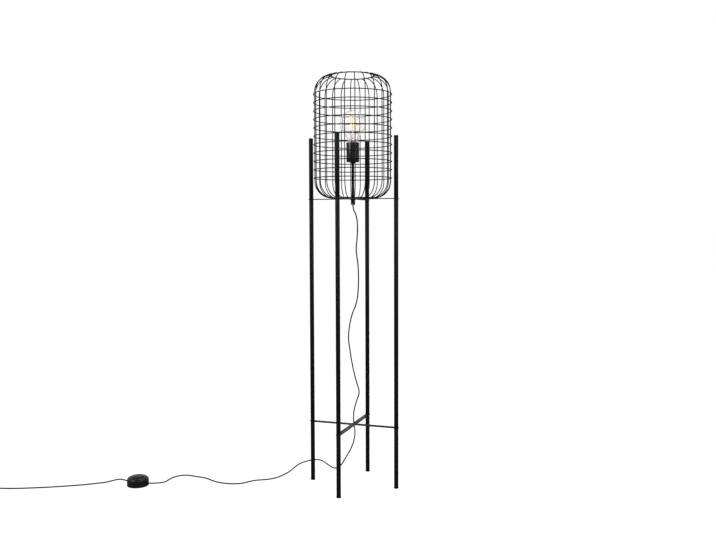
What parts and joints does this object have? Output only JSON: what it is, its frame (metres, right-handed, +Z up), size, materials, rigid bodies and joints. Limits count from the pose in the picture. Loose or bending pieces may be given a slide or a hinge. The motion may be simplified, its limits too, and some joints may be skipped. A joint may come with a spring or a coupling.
{
  "type": "floor lamp",
  "caption": "Tall floor lamp with a rounded wire cage shade round a globe bulb, held between slim straight legs tied by flat cross bars, with a foot switch on its cord.",
  "frame": {"origin": "on the floor, on the lamp's middle axis, midway between the feet", "axes": "+Z up; +X towards the right leg and -Y towards the front leg, as seen from the front"},
  "size_m": [1.4345, 0.8833, 1.5],
  "materials": {
    "black_metal": "satin black powder coat",
    "black_plastic": "black moulded plastic",
    "steel": "zinc plated",
    "cord_pvc": "smooth black flexible plastic",
    "switch_plastic": "polished black plastic",
    "insulator": "off-white moulded insulator",
    "brass": "plain",
    "nickel": "nickel plated",
    "clear_glass": "clear",
    "dark_glass": "dark glass",
    "light_strip": "warm light strip, lit"
  },
  "bodies": {
    "stand": {"cage_bottom_ring": "black_metal", "cage_hoops": "black_metal", "cage_top_ring": "black_metal", "cage_uprights": "black_metal", "coil_tie": "black_plastic", "cord_coil": "cord_pvc", "cord_grip": "black_metal", "cord_grip_screw": "steel", "cord_lower": "cord_pvc", "cord_tail": "cord_pvc", "cord_upper": "cord_pvc", "feet": "black_plastic", "inner_cord": "cord_pvc", "joining_studs": "steel", "lampholder_base": "insulator", "lampholder_contact": "brass", "lampholder_cover": "black_metal", "lampholder_liner": "brass", "lampholder_skirt": "insulator", "leg_back_lower": "black_metal", "leg_back_middle": "black_metal", "leg_back_upper": "black_metal", "leg_caps": "black_plastic", "leg_front_lower": "black_metal", "leg_front_middle": "black_metal", "leg_front_upper": "black_metal", "leg_left_lower": "black_metal", "leg_left_middle": "black_metal", "leg_left_upper": "black_metal", "leg_nuts": "steel", "leg_right_lower": "black_metal", "leg_right_middle": "black_metal", "leg_right_upper": "black_metal", "lower_cross_arms": "black_metal", "lower_cross_bar": "black_metal", "plug_body": "black_plastic", "plug_pins": "nickel", "plug_relief": "black_plastic", "stem_nuts": "steel", "stem_tube": "black_metal", "stem_washers": "steel", "switch_base": "switch_plastic", "switch_cover": "switch_plastic", "switch_leads": "cord_pvc", "switch_mechanism": "insulator", "switch_screws": "steel", "switch_spring": "steel", "terminal_screws": "steel", "upper_cross_arms": "black_metal", "upper_cross_bar": "black_metal"},
    "bulb": {"bulb_cap": "nickel", "bulb_contact": "brass", "bulb_filaments": "light_strip", "bulb_glass": "clear_glass", "bulb_insulator": "dark_glass", "bulb_stem": "clear_glass", "bulb_wires": "nickel"},
    "foot_button": {"switch_button": "switch_plastic"}
  },
  "joints": [
    {"name": "bulb_lift", "type": "slide", "parent": "stand", "child": "bulb", "axis": [0, 0, 1], "range_m": [0, 0.3]},
    {"name": "foot_press", "type": "slide", "parent": "stand", "child": "foot_button", "axis": [0, 0, -1], "range_m": [0, 0.003], "stiffness_N_per_m": 800, "springref_m": -0.003, "deforming": ["switch_spring"]}
  ]
}
